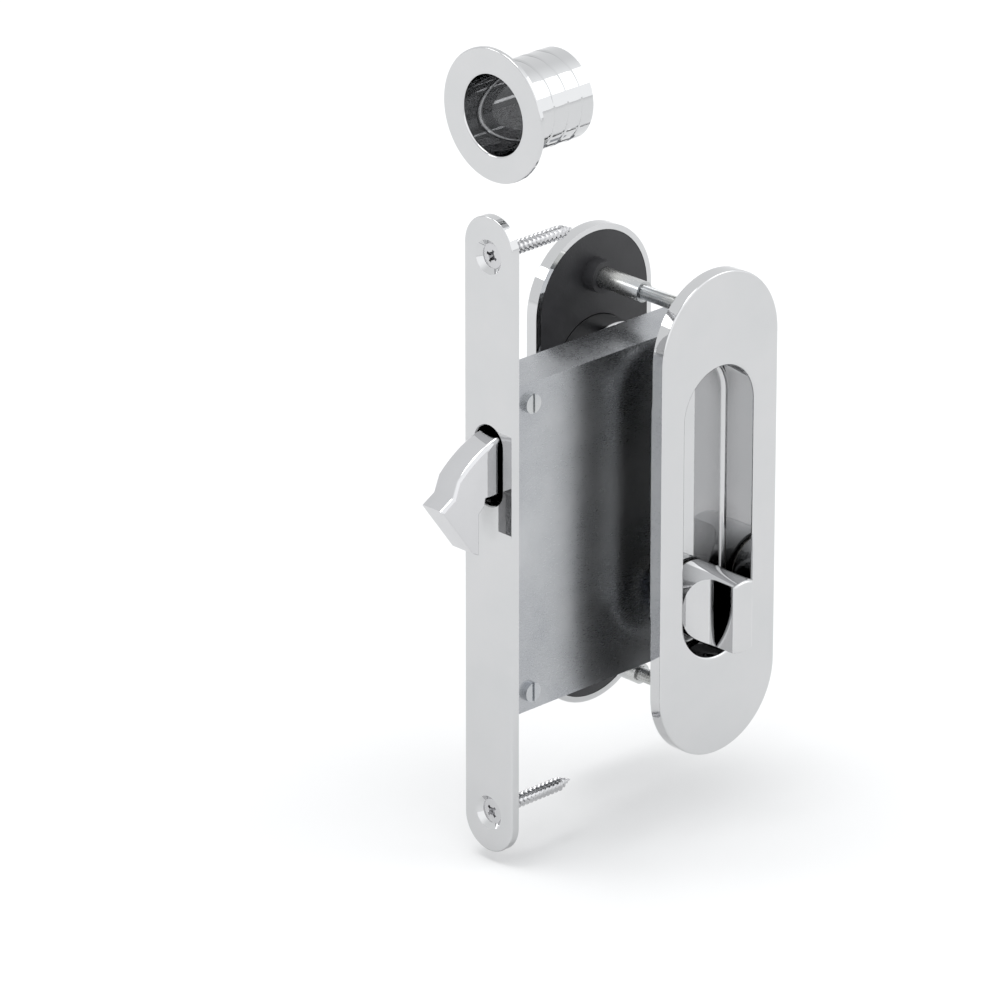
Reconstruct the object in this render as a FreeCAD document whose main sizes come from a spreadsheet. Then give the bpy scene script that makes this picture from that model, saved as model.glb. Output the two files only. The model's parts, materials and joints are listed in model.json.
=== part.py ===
import FreeCAD, Part
import math
import os
import re

import Sketcher

# Privacy lock set for a sliding door: a mortice hook lock in the door's edge, a finger pull above it,
# and a flush pull on each face of the door, one with a thumbturn and one with a coin-slot release.
#
# Frame, in millimetres: +X runs into the door from its edge, whose surface is the plane X = 0. The front
# face of the door, with the thumbturn, looks along -Y, and Y = 0 is the middle of the door. +Z is up.
# The origin is the centre of the faceplate's back. The lock is drawn with its hook thrown.

SIZES = {
    # door
    "door_half": 22.0,
    # faceplate and its screws
    "plate_width": 18.0,
    "plate_length": 182.0,
    "plate_thick": 2.5,
    "plate_bevel": 0.35,
    "hook_slot_width": 10.4,
    "hook_slot_length": 22.8,
    "hook_slot_height": 20.9,
    "screw_pitch": 159.6,
    "screw_hole_radius": 2.6,
    "screw_sink_radius": 4.75,
    "screw_sink_depth": 2.15,
    "screw_head_sunk": 1.15,
    "screw_head_radius": 3.5,
    "screw_neck_radius": 2.4,
    "screw_shank_radius": 2.0,
    "screw_shank_length": 24.0,
    "screw_point_length": 4.0,
    "screw_recess_width": 0.9,
    "screw_recess_span": 4.0,
    "screw_recess_depth": 1.5,
    # rivets between the faceplate and the case
    "rivet_radius": 1.5,
    "rivet_head_radius": 2.6,
    "rivet_head_thick": 0.8,
    "rivet_reach": 1.4,
    "rivet_top": 36.5,
    "rivet_bottom": -30.0,
    # finger pull
    "cup_height": 118.7,
    "cup_flange_radius": 18.3,
    "cup_flange_thick": 1.1,
    "cup_mouth_radius": 10.9,
    "cup_barrel_radius": 12.5,
    "cup_barrel_length": 24.0,
    "cup_floor_thick": 1.4,
    "cup_lip": 0.7,
    # flush pulls
    "pull_place": 58.1,
    "pull_height": -3.2,
    "pull_width": 43.4,
    "pull_length": 138.9,
    "pull_stand": 3.9,
    "pull_wall": 1.6,
    "pull_bevel": 0.5,
    "recess_width": 26.2,
    "recess_length": 83.6,
    "recess_height": -2.4,
    "recess_depth": 11.5,
    "recess_skin": 1.2,
    "recess_round": 1.7,
    "recess_lip": 0.8,
    # mounting frames behind the pulls, and the bolts that draw them together
    "frame_gap": 0.15,
    "frame_thick": 1.9,
    "frame_boss_radius": 4.6,
    "frame_boss_length": 4.0,
    "bolt_top": 52.6,
    "bolt_bottom": -58.9,
    "bolt_radius": 2.0,
    "bolt_head_radius": 3.7,
    "bolt_reach": 8.0,
    "sleeve_radius": 2.9,
    "sleeve_reach": 3.0,
    "bolt_clearance": 0.05,
    # thumbturn, release and spindle
    "turn_height": -30.0,
    "turn_radius": 10.3,
    "turn_stand": 9.6,
    "turn_lift": 0.65,
    "grip_width": 7.2,
    "scoop_depth": 13.1,
    "scoop_round": 6.5,
    "grip_bevel": 0.6,
    "neck_radius": 5.05,
    "neck_length": 5.4,
    "release_radius": 9.5,
    "release_stand": 2.6,
    "coin_slot_width": 2.4,
    "coin_slot_length": 13.0,
    "coin_slot_depth": 1.8,
    "bush_flange_radius": 9.4,
    "bush_flange_thick": 0.6,
    "bush_radius": 6.5,
    "bush_length": 2.2,
    "bush_bore_radius": 5.1,
    "clip_groove_radius": 4.3,
    "clip_thick": 0.8,
    "clip_outer_radius": 6.6,
    "spindle_side": 5.0,
    "socket_side": 5.1,
    "spindle_front": 21.0,
    "spindle_rear": 15.2,
    # lock case
    "case_depth": 76.0,
    "case_half": 7.0,
    "case_wall": 1.3,
    "case_top": 44.0,
    "case_bottom": -50.0,
    "case_round": 2.0,
    "case_slot_width": 11.0,
    "pillar_radius": 3.2,
    "pillar_inset": 6.0,
    "cover_screw_radius": 1.5,
    "cover_screw_head": 2.7,
    "cover_screw_length": 10.0,
    # hook
    "pivot_place": 6.0,
    "pivot_height": -2.0,
    "pivot_pin_radius": 2.5,
    "hook_bush_radius": 3.3,
    "hook_hub_radius": 4.6,
    "hook_half": 4.2,
    "hook_back_radius": 33.2,
    "hook_round": 1.3,
    "hook_bevel": 0.4,
    "spacer_radius": 4.5,
    "running_gap": 0.05,
    # gearing
    "gear_module": 1.0,
    "gear_pressure_angle": 25.0,
    "gear_addendum": 0.8,
    "gear_dedendum": 1.0,
    "gear_backlash": 0.15,
    "hook_teeth": 23.0,
    "follower_teeth": 14.0,
    "follower_half": 2.5,
    "journal_radius": 5.5,
    "journal_end": 7.2,
    # drive plate and its guides
    "drive_half": 1.5,
    "drive_travel": 10.996,
    "guide_slot_width": 5.0,
    "guide_radius": 2.45,
    "guide_collar_radius": 4.0,
    "guide_one_place": 28.0,
    "guide_one_height": -8.0,
    "guide_two_place": 43.5,
    "guide_two_height": -31.0,
    # detent
    "detent_post_place": 29.5,
    "detent_post_height": -44.0,
    "detent_post_radius": 2.6,
    "detent_height": -31.0,
    "detent_nose_place": 38.6,
    "detent_leaf_thick": 0.5,
    "detent_leaf_half": 2.5,
}

ACROSS = FreeCAD.Vector(1, 0, 0)
ALONG_Y = FreeCAD.Vector(0, 1, 0)
UP = FreeCAD.Vector(0, 0, 1)
FACING = {"+X": ACROSS, "+Y": ALONG_Y, "-Y": ALONG_Y * -1}
ALIAS = re.compile(r"\b(" + "|".join(sorted(SIZES, key=len, reverse=True)) + r")\b")

doc = FreeCAD.newDocument("sliding_door_lock_set")
sheet = doc.addObject("Spreadsheet::Sheet", "Sizes")
for row, (alias, value) in enumerate(SIZES.items(), start=1):
    sheet.set(f"A{row}", str(value))
    sheet.setAlias(f"A{row}", alias)
doc.recompute()

nodes = []


# ---------------------------------------------------------------- helpers


def value_of(formula):
    """The number that a formula of sheet names works out to."""
    plain = ALIAS.sub(lambda found: repr(SIZES[found.group()]), str(formula))
    return FreeCAD.Units.Quantity(plain).Value


def bind(thing, prop, formula):
    """Ties a property of an object to a formula of sheet names."""
    thing.setExpression(prop, ALIAS.sub(r"Sizes.\1", str(formula)))


def keep(thing, label):
    """Marks an object as one named piece of the lock set."""
    thing.Label = label
    nodes.append(thing)
    return thing


def place(thing, where, facing=None):
    """Puts an object at a place given by formulas, its own Z axis turned to face one way."""
    if thing.TypeId in ("Part::Cylinder", "Part::Cone", "Part::Box"):
        holder = doc.addObject("Part::Compound", "placed")
        holder.Links = [thing]
        thing = holder
    if facing:
        thing.Placement = FreeCAD.Placement(FreeCAD.Vector(), FreeCAD.Rotation(UP, FACING[facing]))
    for letter, formula in zip("xyz", where):
        bind(thing, f"Placement.Base.{letter}", formula)
    return thing


def origin_plane(body, role):
    return next(item for item in body.Origin.OriginFeatures if item.Role == role)


def new_sketch(body, role, name, across="0", up="0", lift="0"):
    """A sketch on one of the body's own planes, moved within it by across and up, and off it by lift."""
    sketch = body.newObject("Sketcher::SketchObject", name)
    sketch.AttachmentSupport = [(origin_plane(body, role), "")]
    sketch.MapMode = "FlatFace"
    for letter, formula in zip("xyz", (across, up, lift)):
        bind(sketch, f"AttachmentOffset.Base.{letter}", formula)
    return sketch


def constrain(sketch, formula, *terms):
    """A dimension of a sketch, bound to a formula."""
    number = sketch.addConstraint(Sketcher.Constraint(*terms, value_of(formula)))
    bind(sketch, f"Constraints[{number}]", formula)


def draw_circle(sketch, radius):
    edge = sketch.addGeometry(Part.Circle(FreeCAD.Vector(), UP, value_of(radius)), False)
    sketch.addConstraint(Sketcher.Constraint("Coincident", edge, 3, -1, 1))
    constrain(sketch, radius, "Radius", edge)


def draw_stadium(sketch, width, length):
    """An upright slot shape about the sketch's origin."""
    radius = value_of(width) / 2
    reach = value_of(length) / 2 - radius
    top = Part.ArcOfCircle(Part.Circle(FreeCAD.Vector(0, reach, 0), UP, radius), 0, math.pi)
    bottom = Part.ArcOfCircle(Part.Circle(FreeCAD.Vector(0, -reach, 0), UP, radius), math.pi, 2 * math.pi)
    left = Part.LineSegment(FreeCAD.Vector(-radius, reach, 0), FreeCAD.Vector(-radius, -reach, 0))
    right = Part.LineSegment(FreeCAD.Vector(radius, -reach, 0), FreeCAD.Vector(radius, reach, 0))
    upper, lower, port, starboard = [sketch.addGeometry(edge, False) for edge in (top, bottom, left, right)]
    rules = [
        ("Tangent", upper, 2, port, 1),
        ("Tangent", port, 2, lower, 1),
        ("Tangent", lower, 2, starboard, 1),
        ("Tangent", starboard, 2, upper, 1),
        ("Equal", upper, lower),
        ("PointOnObject", upper, 3, -2),
        ("Symmetric", upper, 3, lower, 3, -1, 1),
    ]
    for rule in rules:
        sketch.addConstraint(Sketcher.Constraint(*rule))
    constrain(sketch, f"({width}) / 2", "Radius", upper)
    constrain(sketch, f"({length}) - ({width})", "DistanceY", lower, 3, upper, 3)


def draw_outline(sketch, corners):
    """A closed outline. Each corner is (across, up), with a radius and a bend of 1 (left) or -1 (right)
    added where an arc, not a line, runs from it to the next corner."""
    spots = [FreeCAD.Vector(value_of(corner[0]), value_of(corner[1]), 0) for corner in corners]
    edges = []
    for index, corner in enumerate(corners):
        start, end = spots[index], spots[(index + 1) % len(spots)]
        if len(corner) == 2:
            edges.append(sketch.addGeometry(Part.LineSegment(start, end), False))
            continue
        radius, bend = value_of(corner[2]), corner[3]
        half = (end - start) / 2
        side = FreeCAD.Vector(-half.y, half.x, 0).normalize() * bend
        centre = start + half + side * math.sqrt(max(radius**2 - half.Length**2, 0))
        middle = centre - side * radius
        edges.append(sketch.addGeometry(Part.Arc(start, middle, end), False))
    for index, corner in enumerate(corners):
        edge, after = edges[index], edges[(index + 1) % len(edges)]
        here = 2 if len(corner) == 2 or corner[3] > 0 else 1
        following = corners[(index + 1) % len(corners)]
        there = 1 if len(following) == 2 or following[3] > 0 else 2
        sketch.addConstraint(Sketcher.Constraint("Coincident", edge, here, after, there))
    for index, corner in enumerate(corners):
        start = 1 if len(corner) == 2 or corner[3] > 0 else 2
        for formula, kind, axis in ((corner[0], "DistanceX", -2), (corner[1], "DistanceY", -1)):
            if abs(value_of(formula)) < 1e-9:
                sketch.addConstraint(Sketcher.Constraint("PointOnObject", edges[index], start, axis))
            else:
                constrain(sketch, formula, kind, -1, 1, edges[index], start)
        if len(corner) > 2:
            constrain(sketch, corner[2], "Radius", edges[index])


def add_feature(body, kind, name, sketch, length=None, flip=False, both_ways=False):
    """A pad or pocket of a sketch, checked to have changed the solid the right way."""
    doc.recompute()
    before = body.Shape.Volume if not body.Shape.isNull() else 0.0
    feature = body.newObject(kind, name)
    feature.Profile = sketch
    if both_ways:
        feature.SideType = "Symmetric"
    if length is None:
        feature.Type = "ThroughAll"
    else:
        bind(feature, "Length", length)
    feature.Reversed = flip
    doc.recompute()
    change = body.Shape.Volume - before
    if (change > 0) != (kind == "PartDesign::Pad") or abs(change) < 1e-6:
        raise RuntimeError(f"{name} changed the volume by {change}")
    return feature


def pad(body, name, sketch, length, flip=False, both_ways=False):
    return add_feature(body, "PartDesign::Pad", name, sketch, length, flip, both_ways)


def pocket(body, name, sketch, length=None, flip=False, both_ways=False):
    return add_feature(body, "PartDesign::Pocket", name, sketch, length, flip, both_ways)


def dress(body, kind, name, wanted, size):
    """A fillet or chamfer on the edges of the body's tip that a test picks out."""
    doc.recompute()
    base = body.Tip
    edges = [f"Edge{number}" for number, edge in enumerate(base.Shape.Edges, start=1) if wanted(edge)]
    feature = body.newObject(kind, name)
    feature.Base = (base, edges)
    bind(feature, "Radius" if kind == "PartDesign::Fillet" else "Size", size)
    doc.recompute()
    return feature


def lies_between(edge, axis, low, high):
    """Whether an edge lies wholly between two planes across one axis."""
    box = edge.BoundBox
    return getattr(box, axis + "Min") > low - 1e-4 and getattr(box, axis + "Max") < high + 1e-4


def cylinder(radius, start, length):
    """A cylinder along Z from a start height."""
    piece = doc.addObject("Part::Cylinder", "cylinder")
    bind(piece, "Radius", radius)
    bind(piece, "Height", length)
    bind(piece, "Placement.Base.z", start)
    return piece


def cone(first_radius, second_radius, start, length):
    """A cone along Z that goes from one radius to another."""
    piece = doc.addObject("Part::Cone", "cone")
    bind(piece, "Radius1", first_radius)
    bind(piece, "Radius2", second_radius)
    bind(piece, "Height", length)
    bind(piece, "Placement.Base.z", start)
    return piece


def block(width, depth, height, start):
    """A box centred on Z, from a start height."""
    piece = doc.addObject("Part::Box", "block")
    for prop, formula in (("Length", width), ("Width", depth), ("Height", height)):
        bind(piece, prop, formula)
    bind(piece, "Placement.Base.x", f"-({width}) / 2")
    bind(piece, "Placement.Base.y", f"-({depth}) / 2")
    bind(piece, "Placement.Base.z", start)
    return piece


def fused(pieces):
    if len(pieces) == 1:
        return pieces[0]
    joined = doc.addObject("Part::MultiFuse", "fused")
    joined.Shapes = pieces
    joined.Refine = True
    return joined


def machined(solids, holes=()):
    """Solids joined on one axis, with the holes cut out of them."""
    blank = fused(list(solids))
    if not holes:
        return blank
    result = doc.addObject("Part::Cut", "machined")
    result.Base = blank
    result.Tool = fused(list(holes))
    return result


def group(label, pieces):
    """Separate solids that are one node, such as a set of the same screws."""
    together = doc.addObject("Part::Compound", label)
    together.Links = pieces
    return keep(together, label)


def shaped(name, shape):
    """A plain feature that holds a shape worked out in code from the sheet's sizes."""
    thing = doc.addObject("Part::Feature", name)
    thing.Shape = shape
    return thing


# ---------------------------------------------------------------- faceplate and finger pull


def faceplate_rivet_pieces(reach):
    """The shanks that join the case to the faceplate, or the blind holes for them."""
    shanks = []
    for height in ("rivet_top", "rivet_bottom"):
        shank = cylinder("rivet_radius", f"-({reach})", f"{reach} + case_wall")
        shanks.append(place(shank, ("0", "0", height), "+X"))
    return shanks


def make_faceplate_rivets():
    rivets = []
    for height in ("rivet_top", "rivet_bottom"):
        shank = cylinder("rivet_radius", "-rivet_reach", "rivet_reach + case_wall")
        head = cylinder("rivet_head_radius", "case_wall", "rivet_head_thick")
        rivets.append(place(fused([shank, head]), ("0", "0", height), "+X"))
    group("faceplate_rivets", rivets)


def make_faceplate():
    body = doc.addObject("PartDesign::Body", "faceplate_blank")
    outline = new_sketch(body, "YZ_Plane", "plate_outline")
    draw_stadium(outline, "plate_width", "plate_length")
    pad(body, "plate_pad", outline, "plate_thick", flip=True)

    slot = new_sketch(body, "YZ_Plane", "hook_slot", up="hook_slot_height")
    draw_stadium(slot, "hook_slot_width", "hook_slot_length")
    pocket(body, "hook_slot_cut", slot, both_ways=True)

    front = -value_of("plate_thick")
    dress(
        body,
        "PartDesign::Chamfer",
        "front_bevel",
        lambda edge: lies_between(edge, "X", front, front),
        "plate_bevel",
    )
    sinks = []
    for side in ("", "-"):
        sink = cone("screw_sink_radius", "screw_hole_radius", "-plate_thick", "screw_sink_depth")
        hole = cylinder("screw_hole_radius", "-plate_thick", "plate_thick * 2")
        sinks.append(place(fused([sink, hole]), ("0", "0", f"{side}screw_pitch / 2"), "+X"))
    plate = doc.addObject("Part::Cut", "faceplate_cut")
    plate.Base = body
    plate.Tool = fused(sinks + faceplate_rivet_pieces("rivet_reach"))
    keep(plate, "faceplate")


def make_faceplate_screws():
    screws = []
    for side in ("", "-"):
        head_depth = "(screw_head_radius - screw_neck_radius)"
        start = "(screw_head_sunk - plate_thick)"
        head = cone("screw_head_radius", "screw_neck_radius", start, head_depth)
        neck = cylinder("screw_neck_radius", f"{start} + {head_depth}", f"-({start}) - {head_depth}")
        shank = cylinder("screw_shank_radius", "0", "screw_shank_length")
        point = cone("screw_shank_radius", "0.2", "screw_shank_length", "screw_point_length")
        cross = [
            block("screw_recess_width", "screw_recess_span", "screw_recess_depth + 1", f"{start} - 1"),
            block("screw_recess_span", "screw_recess_width", "screw_recess_depth + 1", f"{start} - 1"),
            cone("1.5", "0.5", start, "screw_recess_depth + 0.2"),
        ]
        screw = machined([head, neck, shank, point], cross)
        screws.append(place(screw, ("0", "0", f"{side}screw_pitch / 2"), "+X"))
    group("faceplate_screws", screws)


def make_finger_pull():
    edge = cone("cup_flange_radius - 0.4", "cup_flange_radius", "-cup_flange_thick", "0.4")
    rim = cylinder("cup_flange_radius", "0.4 - cup_flange_thick", "cup_flange_thick - 0.4")
    barrel = cylinder("cup_barrel_radius", "0", "cup_barrel_length")
    bore_length = "cup_flange_thick + cup_barrel_length - cup_floor_thick"
    bore = cylinder("cup_mouth_radius", "-cup_flange_thick", bore_length)
    lip = cone("cup_mouth_radius + cup_lip", "cup_mouth_radius", "-cup_flange_thick", "cup_lip")
    cup = machined([edge, rim, barrel], [bore, lip])
    keep(place(cup, ("0", "0", "cup_height"), "+X"), "finger_pull_cup")


# ---------------------------------------------------------------- flush pulls


def make_pull_shell(label, side):
    """A flush pull. side is -1 for the front of the door and 1 for the rear."""
    front = side < 0
    face = "door_half + pull_stand"
    body = doc.addObject("PartDesign::Body", label)

    # Sketches on the XZ plane look along -Y, so a lift of one sign serves each face of the door.
    def at(distance):
        return f"({distance})" if front else f"-({distance})"

    def pull_sketch(name, distance, height):
        return new_sketch(body, "XZ_Plane", name, "pull_place", height, at(distance))

    rim = pull_sketch("rim_outline", "door_half", "pull_height")
    draw_stadium(rim, "pull_width", "pull_length")
    pad(body, "rim_pad", rim, "pull_stand", flip=not front)

    hollow = pull_sketch("hollow_outline", "door_half", "pull_height")
    draw_stadium(hollow, "pull_width - 2 * pull_wall", "pull_length - 2 * pull_wall")
    pocket(body, "hollow_cut", hollow, "pull_stand - pull_wall", flip=front)

    cup = pull_sketch("cup_outline", f"{face} - recess_depth - recess_skin", "recess_height")
    draw_stadium(cup, "recess_width + 2 * recess_skin", "recess_length + 2 * recess_skin")
    pad(body, "cup_pad", cup, "recess_depth + recess_skin - 0.1", flip=not front)

    recess = pull_sketch("recess_outline", face, "recess_height")
    draw_stadium(recess, "recess_width", "recess_length")
    pocket(body, "recess_cut", recess, "recess_depth", flip=not front)

    neck = new_sketch(body, "XZ_Plane", "neck_hole_outline", "pull_place", "turn_height", at("door_half"))
    draw_circle(neck, "bush_radius + running_gap")
    pocket(body, "neck_hole", neck, flip=not front)

    floor = side * (value_of(face) - value_of("recess_depth"))
    low, high = sorted((floor, floor))
    hole_reach = value_of("bush_radius") * 2 + 1
    dress(
        body,
        "PartDesign::Fillet",
        "recess_floor_round",
        lambda edge: lies_between(edge, "Y", low, high) and edge.BoundBox.ZLength > hole_reach
        or lies_between(edge, "Y", low, high) and edge.BoundBox.XLength > hole_reach,
        "recess_round",
    )
    flat = side * value_of(face)
    inner = value_of("recess_width") / 2 + 0.01
    middle = value_of("pull_place")
    dress(
        body,
        "PartDesign::Fillet",
        "recess_mouth_round",
        lambda edge: lies_between(edge, "Y", flat, flat)
        and lies_between(edge, "X", middle - inner, middle + inner),
        "recess_lip",
    )
    outer = value_of("pull_width") / 2 - 0.01
    dress(
        body,
        "PartDesign::Chamfer",
        "face_bevel",
        lambda edge: lies_between(edge, "Y", flat, flat)
        and max(abs(edge.BoundBox.XMin - middle), abs(edge.BoundBox.XMax - middle)) > outer,
        "pull_bevel",
    )
    keep(body, label)


def make_mounting_frame(label, side):
    front = side < 0
    body = doc.addObject("PartDesign::Body", label)

    def at(distance):
        return f"({distance})" if front else f"-({distance})"

    trim = "2 * (pull_wall + frame_gap)"
    outline = new_sketch(body, "XZ_Plane", "frame_outline", "pull_place", "pull_height", at("door_half"))
    draw_stadium(outline, f"pull_width - {trim}", f"pull_length - {trim}")
    pad(body, "frame_pad", outline, "frame_thick", flip=not front)
    window_trim = "2 * (recess_skin + frame_gap)"
    window = new_sketch(body, "XZ_Plane", "window_outline", "pull_place", "recess_height", at("door_half"))
    draw_stadium(window, f"recess_width + {window_trim}", f"recess_length + {window_trim}")
    pocket(body, "window_cut", window, both_ways=True)
    for end in ("top", "bottom"):
        spot = ("pull_place", f"bolt_{end}", at("door_half"))
        boss = new_sketch(body, "XZ_Plane", f"{end}_boss_outline", *spot)
        draw_circle(boss, "frame_boss_radius")
        pad(body, f"{end}_boss", boss, "frame_boss_length", flip=front)
        hole = new_sketch(body, "XZ_Plane", f"{end}_hole_outline", *spot)
        draw_circle(hole, "sleeve_radius + bolt_clearance")
        pocket(body, f"{end}_hole", hole, both_ways=True)
    keep(body, label)


def make_through_bolts():
    bolts, sleeves = [], []
    seat = "(door_half + frame_thick)"
    for end in ("top", "bottom"):
        where = ("pull_place", "0", f"bolt_{end}")
        head = cylinder("bolt_head_radius", f"-{seat} - 0.3", "0.3")
        collar = cylinder("sleeve_radius", f"-{seat}", "frame_thick + frame_boss_length")
        shank = cylinder("bolt_radius", f"-{seat}", f"{seat} + bolt_reach")
        drive = block("1.0", "4.0", "1.6", f"-{seat} - 0.4")
        bolts.append(place(machined([head, collar, shank], [drive]), where, "+Y"))

        sleeve_head = cylinder("bolt_head_radius", seat, "0.3")
        tube = cylinder("sleeve_radius", "sleeve_reach", f"{seat} - sleeve_reach")
        bore = cylinder("bolt_radius + bolt_clearance", "sleeve_reach - 1", "14")
        slot = block("1.0", "4.0", "1.6", f"{seat} - 1.2")
        sleeves.append(place(machined([sleeve_head, tube], [bore, slot]), where, "+Y"))
    group("through_bolts", bolts)
    group("sleeve_nuts", sleeves)


# ---------------------------------------------------------------- thumbturn, release, spindle


def add_neck(body, front, base):
    """The stem under a knob, with its clip groove and the square socket for the spindle."""

    def at(distance):
        return f"({distance})" if front else f"-({distance})"

    neck = new_sketch(body, "XZ_Plane", "neck_outline", lift=at(base))
    draw_circle(neck, "neck_radius")
    pad(body, "neck_pad", neck, "neck_length", flip=front)
    groove_start = f"{base} - bush_flange_thick - bush_length - 0.15"
    groove = new_sketch(body, "XZ_Plane", "groove_outline", lift=at(groove_start))
    draw_circle(groove, "neck_radius + 1")
    inner = groove.addGeometry(Part.Circle(FreeCAD.Vector(), UP, value_of("clip_groove_radius")), False)
    groove.addConstraint(Sketcher.Constraint("Coincident", inner, 3, -1, 1))
    constrain(groove, "clip_groove_radius", "Radius", inner)
    pocket(body, "groove_cut", groove, "clip_thick + 0.1", flip=not front)


def add_socket(body, front, base, depth):
    def at(distance):
        return f"({distance})" if front else f"-({distance})"

    side = "socket_side / 2"
    socket = new_sketch(body, "XZ_Plane", "socket_outline", lift=at(f"{base} - neck_length"))
    corners = [(f"-{side}", f"-{side}"), (side, f"-{side}"), (side, side), (f"-{side}", side)]
    draw_outline(socket, corners)
    pocket(body, "socket_cut", socket, depth, flip=front)


KNOB_BASE = "(door_half + pull_stand - recess_depth + turn_lift)"


def make_thumbturn():
    """A round knob with a scoop each side that leaves an upright grip across its middle."""
    body = doc.addObject("PartDesign::Body", "thumbturn")
    disc = new_sketch(body, "XZ_Plane", "disc_outline", lift=KNOB_BASE)
    draw_circle(disc, "turn_radius")
    front = "(door_half + pull_stand + turn_stand)"
    pad(body, "disc_pad", disc, f"{front} - {KNOB_BASE}")
    for side in ("-", ""):
        bend = 1 if side else -1
        scoop = new_sketch(body, "XY_Plane", "scoop_outline")
        floor = f"-({front} - scoop_depth)"
        wall = f"{side}(grip_width / 2)"
        foot = f"{side}(grip_width / 2 + scoop_round)"
        far = f"{side}(turn_radius + 2)"
        corners = [
            (wall, f"-{front} - 2"),
            (wall, f"{floor} - scoop_round", "scoop_round", bend),
            (foot, floor),
            (far, floor),
            (far, f"-{front} - 2"),
        ]
        draw_outline(scoop, corners)
        pocket(body, "scoop_cut", scoop, both_ways=True)
    flat = -value_of(front)

    def on_front(edge):
        return lies_between(edge, "Y", flat, flat)

    dress(body, "PartDesign::Chamfer", "grip_edges", on_front, "grip_bevel")
    add_neck(body, True, KNOB_BASE)
    add_socket(body, True, KNOB_BASE, f"spindle_front - {KNOB_BASE} + neck_length + 0.2")
    keep(place(body, ("pull_place", "0", "turn_height")), "thumbturn")


def make_release_button():
    """A low round button with a coin slot, which works the lock from outside."""
    body = doc.addObject("PartDesign::Body", "release_button")
    disc = new_sketch(body, "XZ_Plane", "disc_outline", lift=f"-{KNOB_BASE}")
    draw_circle(disc, "release_radius")
    pad(body, "disc_pad", disc, "release_stand", flip=True)
    slot = new_sketch(body, "XZ_Plane", "coin_slot_outline", lift=f"-({KNOB_BASE} + release_stand)")
    draw_stadium(slot, "coin_slot_width", "coin_slot_length")
    pocket(body, "coin_slot", slot, "coin_slot_depth", flip=True)
    top = value_of(f"{KNOB_BASE} + release_stand")
    dress(body, "PartDesign::Chamfer", "rim_bevel", lambda edge: lies_between(edge, "Y", top, top), "0.3")
    add_neck(body, False, KNOB_BASE)
    add_socket(body, False, KNOB_BASE, "neck_length + 0.4")
    keep(place(body, ("pull_place", "0", "turn_height")), "release_button")


def make_knob_bushes():
    floor = "(door_half + pull_stand - recess_depth)"
    for label, facing in (("turn_bush", "-Y"), ("release_bush", "+Y")):
        flange = cylinder("bush_flange_radius", floor, "bush_flange_thick")
        barrel = cylinder("bush_radius", f"{floor} - bush_length", "bush_length")
        bore = cylinder("bush_bore_radius", f"{floor} - bush_length - 1", "bush_length + 3")
        keep(place(machined([flange, barrel], [bore]), ("pull_place", "0", "turn_height"), facing), label)


def make_retaining_clips():
    start = f"({KNOB_BASE} - bush_flange_thick - bush_length - 0.2 - clip_thick)"
    for label, facing in (("turn_retaining_clip", "-Y"), ("release_retaining_clip", "+Y")):
        ring = cylinder("clip_outer_radius", start, "clip_thick")
        bore = cylinder("clip_groove_radius + running_gap", f"{start} - 1", "clip_thick + 2")
        gap = block("4.4", "clip_outer_radius", "clip_thick + 2", f"{start} - 1")
        bind(gap, "Placement.Base.y", "2.2")
        keep(place(machined([ring], [bore, gap]), ("pull_place", "0", "turn_height"), facing), label)


def make_spindle():
    bar = block("spindle_side", "spindle_side", "spindle_front + spindle_rear", "-spindle_rear")
    keep(place(bar, ("pull_place", "0", "turn_height"), "-Y"), "spindle")


# ---------------------------------------------------------------- lock case


def case_pillars():
    inset = "pillar_inset"
    return [
        (across, height)
        for across in (inset, f"(case_depth - {inset})")
        for height in (f"(case_top - {inset} + 0.5)", f"(case_bottom + {inset} - 0.5)")
    ]


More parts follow.
